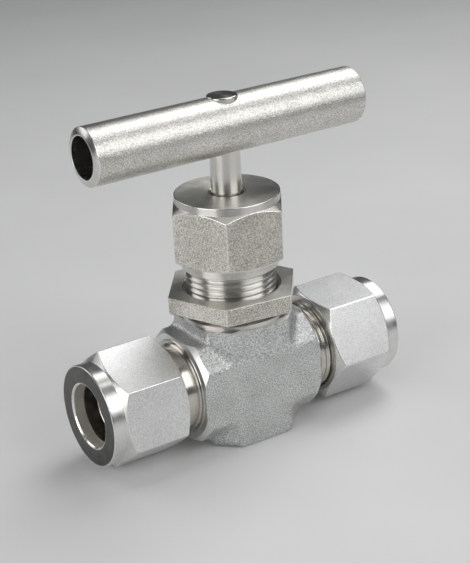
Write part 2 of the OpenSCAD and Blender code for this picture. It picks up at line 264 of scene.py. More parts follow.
def mesh_from_rows(name, rows, finishes, materials, matrix, corner_columns=()):
    """A closed skin over rows of points, each row running once round with its last point on its
    first. The last row joins the first, unless both are points on the axis."""
    grid = np.array(rows, float)
    count, width = grid.shape[:2]
    closed = abs(grid[0, 0, :2]).max() > 0 or abs(grid[-1, 0, :2]).max() > 0
    mesh = bpy.data.meshes.new(name)
    faces, labels = [], []
    for i in range(count if closed else count - 1):
        j = (i + 1) % count
        for k in range(width - 1):
            faces.append((i * width + k, i * width + k + 1, j * width + k + 1, j * width + k))
            label = finishes[i]
            # Faces on a hexagon's corners take the edge finish, partly wear and partly a painted
            # highlight
            if label == FLAT and k in corner_columns:
                label = EDGE
            labels.append(label)
    mesh.from_pydata([tuple(p) for p in grid.reshape(-1, 3)], [], faces)
    mesh.polygons.foreach_set("material_index", np.array(labels, np.int32))
    for material in materials:
        mesh.materials.append(material)
    bm = bmesh.new()
    bm.from_mesh(mesh)
    bmesh.ops.remove_doubles(bm, verts=bm.verts, dist=MERGE)
    bmesh.ops.dissolve_degenerate(bm, edges=bm.edges, dist=MERGE / 10)
    bmesh.ops.recalc_face_normals(bm, faces=bm.faces)
    bm.to_mesh(mesh)
    bm.free()
    mesh.transform(PLACE @ matrix)
    smooth_shaded(mesh)
    piece = bpy.data.objects.new(name, mesh)
    bpy.context.scene.collection.objects.link(piece)
    return piece


def smooth_shaded(mesh):
    mesh.polygons.foreach_set("use_smooth", np.ones(len(mesh.polygons), bool))


def round_row(r, z, angles):
    """One row of points round the axis; r and z are numbers or one value for each angle."""
    radii = np.broadcast_to(np.asarray(r, float), angles.shape)
    heights = np.broadcast_to(np.asarray(z, float), angles.shape)
    return np.stack([radii * np.cos(angles), radii * np.sin(angles), heights], -1)


def full_turn(segments=SEGMENTS):
    return np.linspace(0, 2 * math.pi, segments + 1)


def lathe(name, corners, materials, matrix=Matrix.Identity(4), segments=SEGMENTS):
    """A turned ring or bar from its closed half section."""
    points, finishes = rounded(corners)
    angles = full_turn(segments)
    rows = [round_row(r, z, angles) for r, z in points]
    return mesh_from_rows(name, rows, finishes, materials, matrix)


def hexagon(across_flats, turn, edge_r, flat_steps=20, arc_steps=4):
    """Angles round a hexagon with rounded corners, the radius at each, and a set of the columns
    that lie on a corner."""
    apothem = across_flats / 2
    sixth = math.radians(60)
    reach = (apothem - edge_r) / math.cos(sixth / 2)
    half = math.atan2(edge_r * math.sin(sixth / 2), reach + edge_r * math.cos(sixth / 2))
    angles, radii, on_corner = [], [], []
    for side in range(6):
        corner = side * sixth
        for k in range(arc_steps + 1):
            off = -half + 2 * half * k / arc_steps
            angles.append(corner + off)
            radii.append(reach * math.cos(off) + math.sqrt(edge_r ** 2 - (reach * math.sin(off)) ** 2))
            on_corner.append(k < arc_steps)
        for k in range(1, flat_steps):
            off = half + (sixth - 2 * half) * k / flat_steps
            angles.append(corner + off)
            radii.append(apothem / math.cos(off - sixth / 2))
            on_corner.append(False)
    angles.append(angles[0] + 2 * math.pi)
    radii.append(radii[0])
    columns = {i for i, on in enumerate(on_corner) if on}
    return np.array(angles) + math.radians(turn), np.array(radii), columns


def hex_nut(name, across_flats, turn, section, materials, matrix=Matrix.Identity(4), edge_r=0.25):
    """A nut whose half section is section(h) where the hexagon's radius is h."""
    angles, radii, columns = hexagon(across_flats, turn, edge_r)
    paths = [rounded(section(h)) for h in radii]
    finishes = paths[0][1]
    rows = []
    for i in range(len(finishes)):
        r = np.array([path[0][i][0] for path in paths])
        z = np.array([path[0][i][1] for path in paths])
        rows.append(round_row(r, z, angles))
    return mesh_from_rows(name, rows, finishes, materials, matrix, columns)


# One turn of the thread form: share of the pitch, then share of the depth
THREAD_FORM = ((0.0, 0.0), (0.06, 0.0), (0.12, 0.06), (0.40, 0.88), (0.44, 0.97), (0.50, 1.0),
               (0.56, 0.97), (0.60, 0.88), (0.88, 0.06), (0.94, 0.0))


def thread_rows(low, high, root, crest, angles, run_in=0.9, run_out=0.6):
    """Rows of a right-hand helical thread from low to high. It fades into its root over run_in
    millimetres at its low end, and run_out at its high end."""
    turns = int(math.ceil((high - low) / PITCH)) + 1
    rows = []
    for turn in range(-1, turns):
        for share, depth in THREAD_FORM:
            z = low + PITCH * (turn + share + angles / (2 * math.pi))
            z = np.clip(z, low, high)
            limit = np.minimum(root + (z - low) / run_in * (crest - root),
                               root + (high - z) / run_out * (crest - root))
            r = np.minimum(root + depth * (crest - root), limit)
            r = np.where((z <= low) | (z >= high), root, r)
            rows.append(round_row(r, z, angles))
    return rows


def threaded(name, below, thread, above, materials, matrix=Matrix.Identity(4), finish=TURNED):
    """A turned piece: lathe corners below, a thread (low, high, root, crest), and corners above."""
    angles = full_turn()
    rows, finishes = [], []
    for part in (below, thread, above):
        if part is thread:
            block = thread_rows(*thread, angles)
            rows += block
            finishes += [finish] * len(block)
        else:
            for r, z in part:
                rows.append(round_row(r, z, angles))
                finishes.append(finish)
    return mesh_from_rows(name, rows, finishes, materials, matrix)


def boolean(piece, cutter, operation):
    """Joins a cutter to a piece, or cuts the piece with it, and removes the cutter."""
    modifier = piece.modifiers.new("cut", "BOOLEAN")
    modifier.operation = operation
    modifier.solver = "MANIFOLD"
    modifier.object = cutter
    apply_modifiers(piece)
    bpy.data.objects.remove(cutter)
    return piece


def apply_modifiers(piece):
    """Replaces a piece's mesh by its mesh with every modifier applied."""
    depsgraph = bpy.context.evaluated_depsgraph_get()
    mesh = bpy.data.meshes.new_from_object(piece.evaluated_get(depsgraph), depsgraph=depsgraph)
    piece.modifiers.clear()
    piece.data = mesh
    return piece


def even_normals(piece):
    """Lets large faces set the normals, so that flats stay flat and bevels carry the highlight."""
    piece.data.set_sharp_from_angle(angle=SHARP)
    modifier = piece.modifiers.new("even_normals", "WEIGHTED_NORMAL")
    modifier.weight = LARGE_FACE_WEIGHT
    modifier.keep_sharp = True


def settle(piece, body, node):
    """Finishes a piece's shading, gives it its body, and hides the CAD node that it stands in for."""
    even_normals(piece)
    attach(piece, body)
    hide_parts(node)
    return piece


# ---------------------------------------------------------------- materials
QUARTER_TURN = 0.25
# Sizes, in millimetres, of the marks in the steel and in the plastic
PATCH_SIZE = 5.0
DENT_SIZE = 1.4
RING_SIZE = 0.09
BROAD_RING_SIZE = 0.7
SMEAR_SIZE = 2.5
NICK_SIZE = 0.5
CLOUD_SIZE = 1.5
LATHE_MARK_SIZE = 0.1
# How much of a blasted surface's tone comes from its patches, and the rest from its grain
PATCH_SHARE = 0.15
# The size and the height of a blasted surface's dimples, as shares of its grain's
DIMPLE_SIZE = 1.3
DIMPLE_HEIGHT = 0.5
# How much of a turned surface's tone comes from its rings, and the rest from its smears
RING_SHARE = 0.5
# How far a tool ring raises or lowers the roughness
RING_ROUGHNESS = 0.03


class Nodes:
    """A metal or plastic material built from nodes, in object coordinates counted in millimetres."""

    def __init__(self, name, metallic=1.0):
        self.material = bpy.data.materials.new(name)
        self.material.use_nodes = True
        self.tree = self.material.node_tree
        self.shader = self.tree.nodes["Principled BSDF"]
        self.shader.inputs["Metallic"].default_value = metallic
        coordinates = self.tree.nodes.new("ShaderNodeTexCoord")
        scale = self.tree.nodes.new("ShaderNodeMapping")
        scale.inputs["Scale"].default_value = (1 / MM, 1 / MM, 1 / MM)
        self.link(coordinates.outputs["Object"], scale.inputs["Vector"])
        self.point = scale.outputs["Vector"]

    def link(self, output, socket):
        self.tree.links.new(output, socket)

    def noise(self, size, detail=2.0, rough=0.5, point=None):
        """Noise whose features are about size millimetres across, from 0 to 1."""
        node = self.tree.nodes.new("ShaderNodeTexNoise")
        node.inputs["Scale"].default_value = 1 / size
        node.inputs["Detail"].default_value = detail
        node.inputs["Roughness"].default_value = rough
        self.link(point or self.point, node.inputs["Vector"])
        return node.outputs["Fac"]

    def cells(self, size):
        """Distance to the nearest of the cells' centres, for dimples about size millimetres across."""
        node = self.tree.nodes.new("ShaderNodeTexVoronoi")
        node.inputs["Scale"].default_value = 1 / size
        self.link(self.point, node.inputs["Vector"])
        return node.outputs["Distance"]

    def spread(self, value, low, high, from_low=0.3, from_high=0.7):
        """A value mapped from its usual spread to another one, clamped."""
        node = self.tree.nodes.new("ShaderNodeMapRange")
        node.inputs["From Min"].default_value = from_low
        node.inputs["From Max"].default_value = from_high
        node.inputs["To Min"].default_value = low
        node.inputs["To Max"].default_value = high
        self.link(value, node.inputs["Value"])
        return node.outputs["Result"]

    def maths(self, operation, a, b):
        """An operation on two values, each a number or another node's output."""
        node = self.tree.nodes.new("ShaderNodeMath")
        node.operation = operation
        for socket, value in zip(node.inputs, (a, b)):
            if isinstance(value, (int, float)):
                socket.default_value = value
            else:
                self.link(value, socket)
        return node.outputs["Value"]

    def tones(self, value, dark, light):
        """A colour between two tones."""
        node = self.tree.nodes.new("ShaderNodeMix")
        node.data_type = "RGBA"
        node.inputs["A"].default_value = (*dark, 1)
        node.inputs["B"].default_value = (*light, 1)
        self.link(value, node.inputs["Factor"])
        return node.outputs["Result"]

    def lathe_point(self, axis):
        """Coordinates that are the same all round a turned piece, so that noise on them makes
        tool rings."""
        split = self.tree.nodes.new("ShaderNodeSeparateXYZ")
        self.link(self.point, split.inputs["Vector"])
        along = split.outputs[axis]
        if axis == "Z":
            across = (split.outputs["X"], split.outputs["Y"])
        else:
            across = (split.outputs["Y"], self.maths("SUBTRACT", split.outputs["Z"], AXIS_H))
        squares = [self.maths("MULTIPLY", value, value) for value in across]
        radius = self.maths("SQRT", self.maths("ADD", *squares), 0)
        join = self.tree.nodes.new("ShaderNodeCombineXYZ")
        self.link(along, join.inputs["X"])
        self.link(radius, join.inputs["Y"])
        return join.outputs["Vector"]

    def grooves(self, axis, amount):
        """Stretches the highlights across tool marks that run round an axis."""
        centre, direction = ((0, 0, AXIS_H), (1, 0, 0)) if axis == "X" else ((0, 0, 0), (0, 0, 1))
        arm = self.tree.nodes.new("ShaderNodeVectorMath")
        arm.operation = "SUBTRACT"
        self.link(self.point, arm.inputs[0])
        arm.inputs[1].default_value = centre
        around = self.tree.nodes.new("ShaderNodeVectorMath")
        around.operation = "CROSS_PRODUCT"
        around.inputs[0].default_value = direction
        self.link(arm.outputs["Vector"], around.inputs[1])
        turn = self.tree.nodes.new("ShaderNodeVectorTransform")
        turn.vector_type = "VECTOR"
        turn.convert_from = "OBJECT"
        turn.convert_to = "WORLD"
        self.link(around.outputs["Vector"], turn.inputs["Vector"])
        self.link(turn.outputs["Vector"], self.shader.inputs["Tangent"])
        self.shader.inputs["Anisotropic"].default_value = amount
        self.shader.inputs["Anisotropic Rotation"].default_value = QUARTER_TURN

    def bump(self, height, distance, strength=1.0):
        """Adds a bump of height times distance millimetres."""
        node = self.tree.nodes.new("ShaderNodeBump")
        node.inputs["Strength"].default_value = strength
        node.inputs["Distance"].default_value = distance * MM
        self.link(height, node.inputs["Height"])
        below = self.shader.inputs["Normal"]
        if below.is_linked:
            self.link(below.links[0].from_socket, node.inputs["Normal"])
        self.link(node.outputs["Normal"], below)


def blasted_steel(name, dark, light, grain, rough, relief, dents=0.0):
    """Steel blasted with grit of about grain millimetres. The relief and the dents of a forging's
    skin are heights in millimetres."""
    m = Nodes(name)
    fine = m.noise(grain, detail=2, rough=0.65)
    dimples = m.cells(grain * DIMPLE_SIZE)
    patches = m.noise(PATCH_SIZE, detail=3)
    grains = m.spread(fine, 0, 1, from_low=0.35, from_high=0.65)
    tone = m.maths("ADD", m.maths("MULTIPLY", grains, 1 - PATCH_SHARE),
                   m.maths("MULTIPLY", m.spread(patches, 0, 1), PATCH_SHARE))
    m.link(m.tones(tone, dark, light), m.shader.inputs["Base Color"])
    m.link(m.spread(fine, *rough), m.shader.inputs["Roughness"])
    m.bump(m.maths("ADD", fine, m.maths("MULTIPLY", dimples, DIMPLE_HEIGHT)), relief)
    if dents:
        m.bump(m.noise(DENT_SIZE, detail=3, rough=0.55), dents)
    return m.material


def turned_steel(name, dark, light, axis, rough, relief, grooved=0.6, metallic=1.0):
    """Steel turned about an axis, with fine tool rings and faint smears. The relief is in
    millimetres, and grooved is how far the rings stretch the highlights."""
    m = Nodes(name, metallic)
    rings = m.noise(RING_SIZE, detail=3, rough=0.7, point=m.lathe_point(axis))
    broad = m.noise(BROAD_RING_SIZE, detail=2, point=m.lathe_point(axis))
    smears = m.noise(SMEAR_SIZE, detail=3, rough=0.6)
    tone = m.maths("ADD", m.maths("MULTIPLY", m.spread(rings, 0, 1), RING_SHARE),
                   m.maths("MULTIPLY", m.spread(smears, 0, 1), 1 - RING_SHARE))
    m.link(m.tones(tone, dark, light), m.shader.inputs["Base Color"])
    ripple = m.spread(rings, -RING_ROUGHNESS, RING_ROUGHNESS)
    m.link(m.maths("ADD", m.spread(smears, *rough), ripple), m.shader.inputs["Roughness"])
    m.bump(rings, relief, strength=0.6)
    m.bump(broad, relief * 2, strength=0.5)
    m.grooves(axis, grooved)
    return m.material


def worn_edge_and_highlight_steel(name, dark, light, rough, relief):
    """The lighter edge of a bevel: partly real wear, partly a painted highlight."""
    m = Nodes(name)
    nicks = m.noise(NICK_SIZE, detail=3, rough=0.6)
    m.link(m.tones(m.spread(nicks, 0, 1), dark, light), m.shader.inputs["Base Color"])
    m.link(m.spread(nicks, *rough), m.shader.inputs["Roughness"])
    m.bump(nicks, relief, strength=0.5)
    return m.material


def waxy_plastic(name, dark, light, rough, relief):
    """PTFE: smooth, slightly waxy, with faint turning marks."""
    m = Nodes(name, metallic=0.0)
    cloud = m.noise(CLOUD_SIZE, detail=3)
    m.link(m.tones(m.spread(cloud, 0, 1), dark, light), m.shader.inputs["Base Color"])
    m.link(m.spread(cloud, *rough), m.shader.inputs["Roughness"])
    m.shader.inputs["Subsurface Weight"].default_value = 0.1
    m.shader.inputs["Subsurface Radius"].default_value = (MM, MM, MM)
    m.bump(m.noise(LATHE_MARK_SIZE, point=m.lathe_point("Z")), relief, strength=0.4)
    return m.material


# The forging, the packing and panel nuts, the tube nuts and the handle bar
FORGED = blasted_steel("forging_blasted", (0.29, 0.30, 0.29), (0.93, 0.94, 0.93),
                       grain=0.28, rough=(0.36, 0.48), relief=0.10, dents=0.16)
WARM_BLAST = blasted_steel("nut_blasted", (0.24, 0.225, 0.195), (0.92, 0.89, 0.82),
                           grain=0.25, rough=(0.32, 0.42), relief=0.05)
FINE_BLAST = blasted_steel("tube_nut_blasted", (0.60, 0.605, 0.60), (0.95, 0.955, 0.95),
                           grain=0.24, rough=(0.30, 0.38), relief=0.045)
BAR_BLAST = blasted_steel("bar_blasted", (0.34, 0.33, 0.305), (0.92, 0.905, 0.87),
                          grain=0.26, rough=(0.30, 0.40), relief=0.05)

# Turned surfaces about the stem and about the flow axis
TURNED_Z = turned_steel("turned_about_stem", (0.60, 0.58, 0.54), (0.80, 0.78, 0.74), "Z",
                        rough=(0.27, 0.35), relief=0.004, grooved=0.95)
TURNED_X = turned_steel("turned_about_flow", (0.49, 0.465, 0.42), (0.69, 0.66, 0.61), "X",
                        rough=(0.18, 0.28), relief=0.004)
POLISHED = turned_steel("stem_polished", (0.62, 0.60, 0.57), (0.74, 0.72, 0.69), "Z",
                        rough=(0.16, 0.22), relief=0.002, grooved=0.8)
COLLAR_X = turned_steel("collar_turned", (0.64, 0.64, 0.62), (0.84, 0.84, 0.82), "X",
                        rough=(0.28, 0.38), relief=0.004)
# Painted reflection: the tube nuts' outer end faces are coloured near black, a painted dark reflection
# rather than the turned steel's own tone
END_FACE_PAINTED_DARK = turned_steel("end_face_painted_dark_reflection", (0.045, 0.044, 0.042), (0.16, 0.156, 0.15), "X",
                        rough=(0.26, 0.36), relief=0.01)
ARM_FACE = turned_steel("arm_face", (0.74, 0.74, 0.73), (0.92, 0.92, 0.91), "X",
                        rough=(0.34, 0.44), relief=0.01, grooved=0.3)
TOP_FACE = turned_steel("top_face", (0.64, 0.63, 0.58), (0.86, 0.85, 0.80), "Z",
                        rough=(0.40, 0.48), relief=0.006, grooved=0.5)
BORE_WALL = turned_steel("bore_wall", (0.60, 0.585, 0.51), (0.80, 0.785, 0.70), "X",
                         rough=(0.42, 0.54), relief=0.01, grooved=0.0, metallic=0.5)
TURNED_BAR = turned_steel("bar_end_turned", (0.55, 0.54, 0.52), (0.75, 0.74, 0.72), "X",
                          rough=(0.18, 0.28), relief=0.003, grooved=0.0)
DARK_STEEL = turned_steel("screw_dark", (0.10, 0.10, 0.105), (0.20, 0.20, 0.205), "X",
                          rough=(0.30, 0.45), relief=0.006, grooved=0.0)
# Bevels and hexagon corners: lighter, smoother steel, partly real wear and partly a painted highlight
# along the edges
WORN_EDGE_AND_HIGHLIGHT = worn_edge_and_highlight_steel("worn_edge_and_painted_highlight", (0.72, 0.71, 0.69), (0.88, 0.87, 0.85),
                         rough=(0.14, 0.30), relief=0.01)
PTFE = waxy_plastic("ptfe", (0.78, 0.78, 0.74), (0.90, 0.90, 0.87), rough=(0.38, 0.50), relief=0.01)

# The materials of each piece, in the order of the face labels
STEM_NUT_FINISHES = (WARM_BLAST, TURNED_Z, WORN_EDGE_AND_HIGHLIGHT, TOP_FACE, BORE_WALL)
TUBE_NUT_FINISHES = (FINE_BLAST, COLLAR_X, WORN_EDGE_AND_HIGHLIGHT, END_FACE_PAINTED_DARK, BORE_WALL)
BAR_FINISHES = (BAR_BLAST, TURNED_BAR, WORN_EDGE_AND_HIGHLIGHT)
STEM_FINISHES = (POLISHED, POLISHED, WORN_EDGE_AND_HIGHLIGHT)
BODY_FINISHES = (FORGED, TURNED_X, TURNED_Z, ARM_FACE)


# ---------------------------------------------------------------- forged body
def smooth_max(a, b, k):
    """The larger of a and b, blended where they are within k of each other."""
    h = np.maximum(k - np.abs(a - b), 0) / k
    return np.maximum(a, b) + h * h * k / 4


def smooth_min(a, b, k):
    return -smooth_max(-a, -b, k)


def forging_distance(p):
    """Signed distance to the forged cross: arms along X, neck and foot along Z, between two flats."""
    x, y, z = (abs(p[:, i]) for i in range(3))
    reach = FORGING_HALF + FORGING_FLAT
    arms = smooth_max(z - FORGING_HALF, (y + z - reach) / math.sqrt(2), FORGE_EDGE)
    post = smooth_max(x - FORGING_HALF, (x + y - reach) / math.sqrt(2), FORGE_EDGE)
    post = smooth_max(post, -p[:, 2] - AXIS_H, FORGE_FOOT_EDGE)
    above = np.clip((p[:, 2] - FORGING_FLAT) / NECK_STEP_FADE + 0.5, 0, 1)
    front = FORGING_HALF - NECK_STEP * above
    return smooth_max(smooth_min(arms, post, FORGE_FILLET), y - front, FORGE_EDGE)


def cover(piece, materials):
    piece.data.materials.clear()
    for material in materials:
        piece.data.materials.append(material)


def crude_bar(name, low, high, matrix):
    """An octagonal bar a little smaller than the forging, from low to high along +Z."""
    half, flat = FORGING_HALF - SKIN_DEPTH, FORGING_FLAT
    corner, reach = math.atan2(flat, half), math.hypot(half, flat)
    angles = [quarter * math.pi / 2 + side * corner for quarter in range(4) for side in (-1, 1)]
    angles = np.array(angles + [angles[0] + 2 * math.pi])
    rows = [round_row(r, z, angles) for r, z in ((0, low), (reach, low), (reach, high), (0, high))]
    return mesh_from_rows(name, rows, [FLAT] * 4, (), LOCAL @ matrix)


def forging():
    """The forged cross, as a fine skin moved on to its rounded shape. Its arms and neck run past
    their turned ends."""
    arm = crude_bar("forging", -ARM_HALF - OVERRUN, ARM_HALF + OVERRUN, ALONG_X)
    post = crude_bar("post", -AXIS_H + SKIN_DEPTH, NECK_TOP + OVERRUN, Matrix.Identity(4))
    boolean(arm, post, "UNION")
    remesh = arm.modifiers.new("skin", "REMESH")
    remesh.mode = "VOXEL"
    remesh.voxel_size = VOXEL
    apply_modifiers(arm)
    points = np.zeros(len(arm.data.vertices) * 3)
    arm.data.vertices.foreach_get("co", points)
    points = points.reshape(-1, 3)
    free = np.abs(points[:, 0]) < ARM_HALF + FREE_OVERRUN
    free &= points[:, 2] < NECK_TOP + FREE_OVERRUN
    for _ in range(SKIN_ROUNDS):
        value = forging_distance(points)
        ahead = [forging_distance(points + SLOPE_STEP * axis) for axis in np.eye(3)]
        slope = (np.stack(ahead, -1) - value[:, None]) / SLOPE_STEP
        length = np.maximum((slope ** 2).sum(1), LEAST_SLOPE)
        points[free] -= (SKIN_SHARE * value / length)[free, None] * slope[free]
    arm.data.vertices.foreach_set("co", points.ravel())
    arm.data.update()
    cover(arm, BODY_FINISHES)
    return arm


def cut_forging():
    """The forging with its arm ends and the top of its neck turned."""
    body = forging()
    bevel_r, bevel_x = ARM_END_R + ARM_BEVEL, ARM_HALF - ARM_BEVEL
    past_r = bevel_r + LIMIT_PAST
    half_section = [(ARM_END_R, ARM_HALF), (bevel_r, bevel_x), (past_r, bevel_x)]
    path = [(0, -ARM_HALF)] + [(r, -x) for r, x in half_section] + half_section[::-1] + [(0, ARM_HALF)]
    limit = lathe("arm_limit", [(r, x, 0, ARM_END) for r, x in path], BODY_FINISHES, LOCAL @ ALONG_X)
    boolean(body, limit, "INTERSECT")
    bpy.ops.mesh.primitive_cube_add(size=2)
    top = bpy.context.object
    top.data.transform(Matrix.Diagonal((*NECK_CUT, 1)))
    top.data.transform(Matrix.Translation((0, 0, NECK_TOP + NECK_CUT[2])))
    cover(top, BODY_FINISHES)
    top.data.polygons.foreach_set("material_index", np.full(6, ABOUT_STEM, np.int32))
    return boolean(body, top, "DIFFERENCE")


def bonnet():
    """Boss and threaded bonnet on the neck, with a root inside it that joins them to the forging."""
    top = span("body")[1].z
    below = [
        (0, BONNET_ROOT_FROM), (BONNET_ROOT_R, BONNET_ROOT_FROM), (BONNET_ROOT_R, BOSS_ROOT_FROM),
        (BOSS_ROOT_R, BOSS_ROOT_FROM), (BOSS_ROOT_R, NECK_TOP - SINK), (BOSS_R, NECK_TOP - SINK),
        (BOSS_R, BOSS_TOP - BOSS_EDGE), (BOSS_R - BOSS_EDGE, BOSS_TOP), (THREAD_ROOT_R, BOSS_TOP)]
    thread = BONNET_THREAD_FROM, top, THREAD_ROOT_R, THREAD_R
    above = [(THREAD_ROOT_R, top), (0, top)]
    return threaded("bonnet", below, thread, above, BODY_FINISHES, LOCAL, ABOUT_STEM)


def port(name, thread_from, matrix):
    """One port: shoulder ring, relief and thread, drawn along +Z and turned into place."""
    below = [
        (0, PORT_ROOT_FROM), (PORT_ROOT_R, PORT_ROOT_FROM), (PORT_ROOT_R, PORT_RING_FROM),
        (PORT_RING_R, PORT_RING_FROM), (PORT_RING_R, PORT_RING_X - PORT_RING_EDGE),
        (PORT_RING_R - PORT_RING_EDGE, PORT_RING_X),
        (PORT_RELIEF_R + PORT_RELIEF_EDGE, PORT_RING_X),
        (PORT_RELIEF_R, PORT_RING_X + PORT_RELIEF_EDGE), (PORT_RELIEF_R, thread_from)]
    thread = thread_from, PORT_END_X, PORT_RELIEF_R, THREAD_R
    above = [(PORT_RELIEF_R, PORT_END_X), (0, PORT_END_X)]
    return threaded(name, below, thread, above, BODY_FINISHES, LOCAL @ matrix, ABOUT_FLOW)


def cutter(name, path, matrix=Matrix.Identity(4), materials=BODY_FINISHES, segments=SEGMENTS):
    """A turned solid to cut with, from its half section of (r, z) points."""
    corners = [(r, z, 0, TURNED) for r, z in path]
    return lathe(name, corners, materials, LOCAL @ matrix, segments)


def drill(r, low, high):
    """The half section of a plain hole."""
    return (0, low), (r, low), (r, high), (0, high)


def socket_cutter(matrix):
    """Tube socket, its stop and the ferrule cone."""
    end = PORT_END_X + PAST / 2
    slope = (CONE_END_R - SOCKET_R) / (PORT_END_X - CONE_X)
    return cutter("socket_cutter", [
        (0, SOCKET_STOP_X), (SOCKET_R, SOCKET_STOP_X), (SOCKET_R, CONE_X),
        (SOCKET_R + slope * (end - CONE_X), end), (0, end)], matrix)


def passage_cutter(start, finish):
    """A drilled passage between two points."""
    start, finish = Vector(start), Vector(finish)
    line = finish - start
    turn = Vector((0, 0, 1)).rotation_difference(line).to_matrix().to_4x4()
    return cutter("passage_cutter", drill(PASSAGE_R, 0, line.length),
                  Matrix.Translation(start) @ turn, segments=PASSAGE_SEGMENTS)


def stem_bore_cutter():
    """Orifice, seat chamber, stem thread bore and packing chamber."""
    end = span("body")[1].z + PAST
    thread_bore_r = STEM_THREAD_R + RUN_GAP
    return cutter("stem_bore", [
        (0, ORIFICE_BOTTOM), (ORIFICE_R, ORIFICE_BOTTOM), (ORIFICE_R, SEAT_Z), (CHAMBER_R, SEAT_Z),
        (CHAMBER_R, CHAMBER_TOP), (thread_bore_r, CHAMBER_TOP), (thread_bore_r, PACKING_FLOOR),
        (PACKING_R, PACKING_FLOOR), (PACKING_R, end), (0, end)])


def make_body():
    body = cut_forging()
    boolean(body, bonnet(), "UNION")
    boolean(body, port("right_port", RIGHT_THREAD_FROM, ALONG_X), "UNION")
    boolean(body, port("left_port", LEFT_THREAD_FROM, TO_LEFT), "UNION")
    boolean(body, socket_cutter(ALONG_X), "DIFFERENCE")
    boolean(body, socket_cutter(TO_LEFT), "DIFFERENCE")
    boolean(body, stem_bore_cutter(), "DIFFERENCE")
    for ends in (LEFT_PASSAGE, RIGHT_PASSAGE):
        boolean(body, passage_cutter(*ends), "DIFFERENCE")
    body.name = "forged_body"
    body.data.transform(PLACE)
    smooth_shaded(body.data)
    return settle(body, "valve_body", "body")


# ---------------------------------------------------------------- nuts
def make_packing_nut():
    low, high = span("packing_nut")
    bottom, top = low.z, high.z
    hex_from = bottom + PACKING_FOOT_H
    collar_from = top - PACKING_COLLAR_H
    cavity_top = bottom + PACKING_CAVITY_H

    def section(h):
        return [
            (NUT_BORE_R + PACKING_MOUTH, bottom, MOUTH_EDGE, TURNED),
            (PACKING_FOOT_R, bottom, PACKING_FOOT_EDGE, TURNED),
            (PACKING_FOOT_R, hex_from, PACKING_FOOT_EDGE, TURNED),
            (h, hex_from + (h - PACKING_FOOT_R) * PACKING_FOOT_SLOPE, HEX_EDGE, FLAT),
            (h, collar_from - (h - PACKING_COLLAR_R) * NUT_SLOPE, HEX_EDGE, TURNED),
            (PACKING_COLLAR_R, collar_from, COLLAR_FOOT_EDGE, TURNED),
            (PACKING_COLLAR_R, top, PACKING_RIM_EDGE, FACE),
            (STEM_HOLE_R + STEM_HOLE_MOUTH, top, MOUTH_EDGE, TURNED),
            (STEM_HOLE_R, top - STEM_HOLE_MOUTH, STEM_HOLE_EDGE, BORE),
            (STEM_HOLE_R, cavity_top, 0, BORE), (NUT_BORE_R, cavity_top, 0, BORE),
            (NUT_BORE_R, bottom + PACKING_MOUTH, 0, TURNED)]
    piece = hex_nut("packing_nut_piece", PACKING_NUT_AF, PACKING_NUT_TURN, section,
                    STEM_NUT_FINISHES)
    return settle(piece, "packing_nut", "packing_nut")


def make_panel_nut():
    low, high = span("panel_nut")

    def section(h):
        return [
            (NUT_BORE_R, low.z + THREAD_MOUTH, 0, TURNED),
            (NUT_BORE_R + THREAD_MOUTH, low.z, PANEL_MOUTH_EDGE, TURNED),
            (h, low.z, HEX_EDGE, FLAT), (h, high.z, PANEL_RIM_EDGE, FACE),
            (NUT_BORE_R + PANEL_MOUTH, high.z, MOUTH_EDGE, TURNED),
            (NUT_BORE_R, high.z - PANEL_MOUTH, 0, TURNED)]
    piece = hex_nut("panel_nut_piece", PANEL_NUT_AF, PANEL_NUT_TURN, section, STEM_NUT_FINISHES)
    return settle(piece, "panel_nut", "panel_nut")


def make_tube_nut(side, turn, matrix):
    """A tube nut drawn along +Z, its outer face at the end, and turned to its side of the body."""
    low, high = span(side + "_tube_nut")
    inner, outer = sorted((abs(low.x), abs(high.x)))

    def section(h):
        return [
            (NUT_BORE_R + THREAD_MOUTH, inner, MOUTH_EDGE, TURNED),
            (TUBE_FOOT_R, inner, TUBE_FOOT_EDGE, TURNED),
            (h, inner + (h - TUBE_FOOT_R) * NUT_SLOPE, HEX_EDGE, FLAT),
            (h, TUBE_COLLAR_X - (h - TUBE_COLLAR_R) * NUT_SLOPE, HEX_EDGE, TURNED),
            (TUBE_COLLAR_R, TUBE_COLLAR_X, COLLAR_FOOT_EDGE, TURNED),
            (TUBE_COLLAR_R, outer, TUBE_RIM_EDGE, FACE),
            (TUBE_BORE_R + TUBE_MOUTH, outer, TUBE_MOUTH_EDGE, EDGE),
            (TUBE_BORE_R, outer - TUBE_MOUTH, MOUTH_EDGE, BORE),
            (TUBE_BORE_R, NUT_SHOULDER_X, 0, BORE), (FERRULE_CAVITY_R, NUT_SHOULDER_X, 0, BORE),
            (FERRULE_CAVITY_R, FERRULE_CAVITY_X, 0, BORE), (NUT_BORE_R, FERRULE_CAVITY_X, 0, BORE),
            (NUT_BORE_R, inner + THREAD_MOUTH, 0, TURNED)]
    piece = hex_nut(side + "_tube_nut_piece", TUBE_NUT_AF, turn, section, TUBE_NUT_FINISHES, matrix)
    return settle(piece, side + "_nut", side + "_tube_nut")


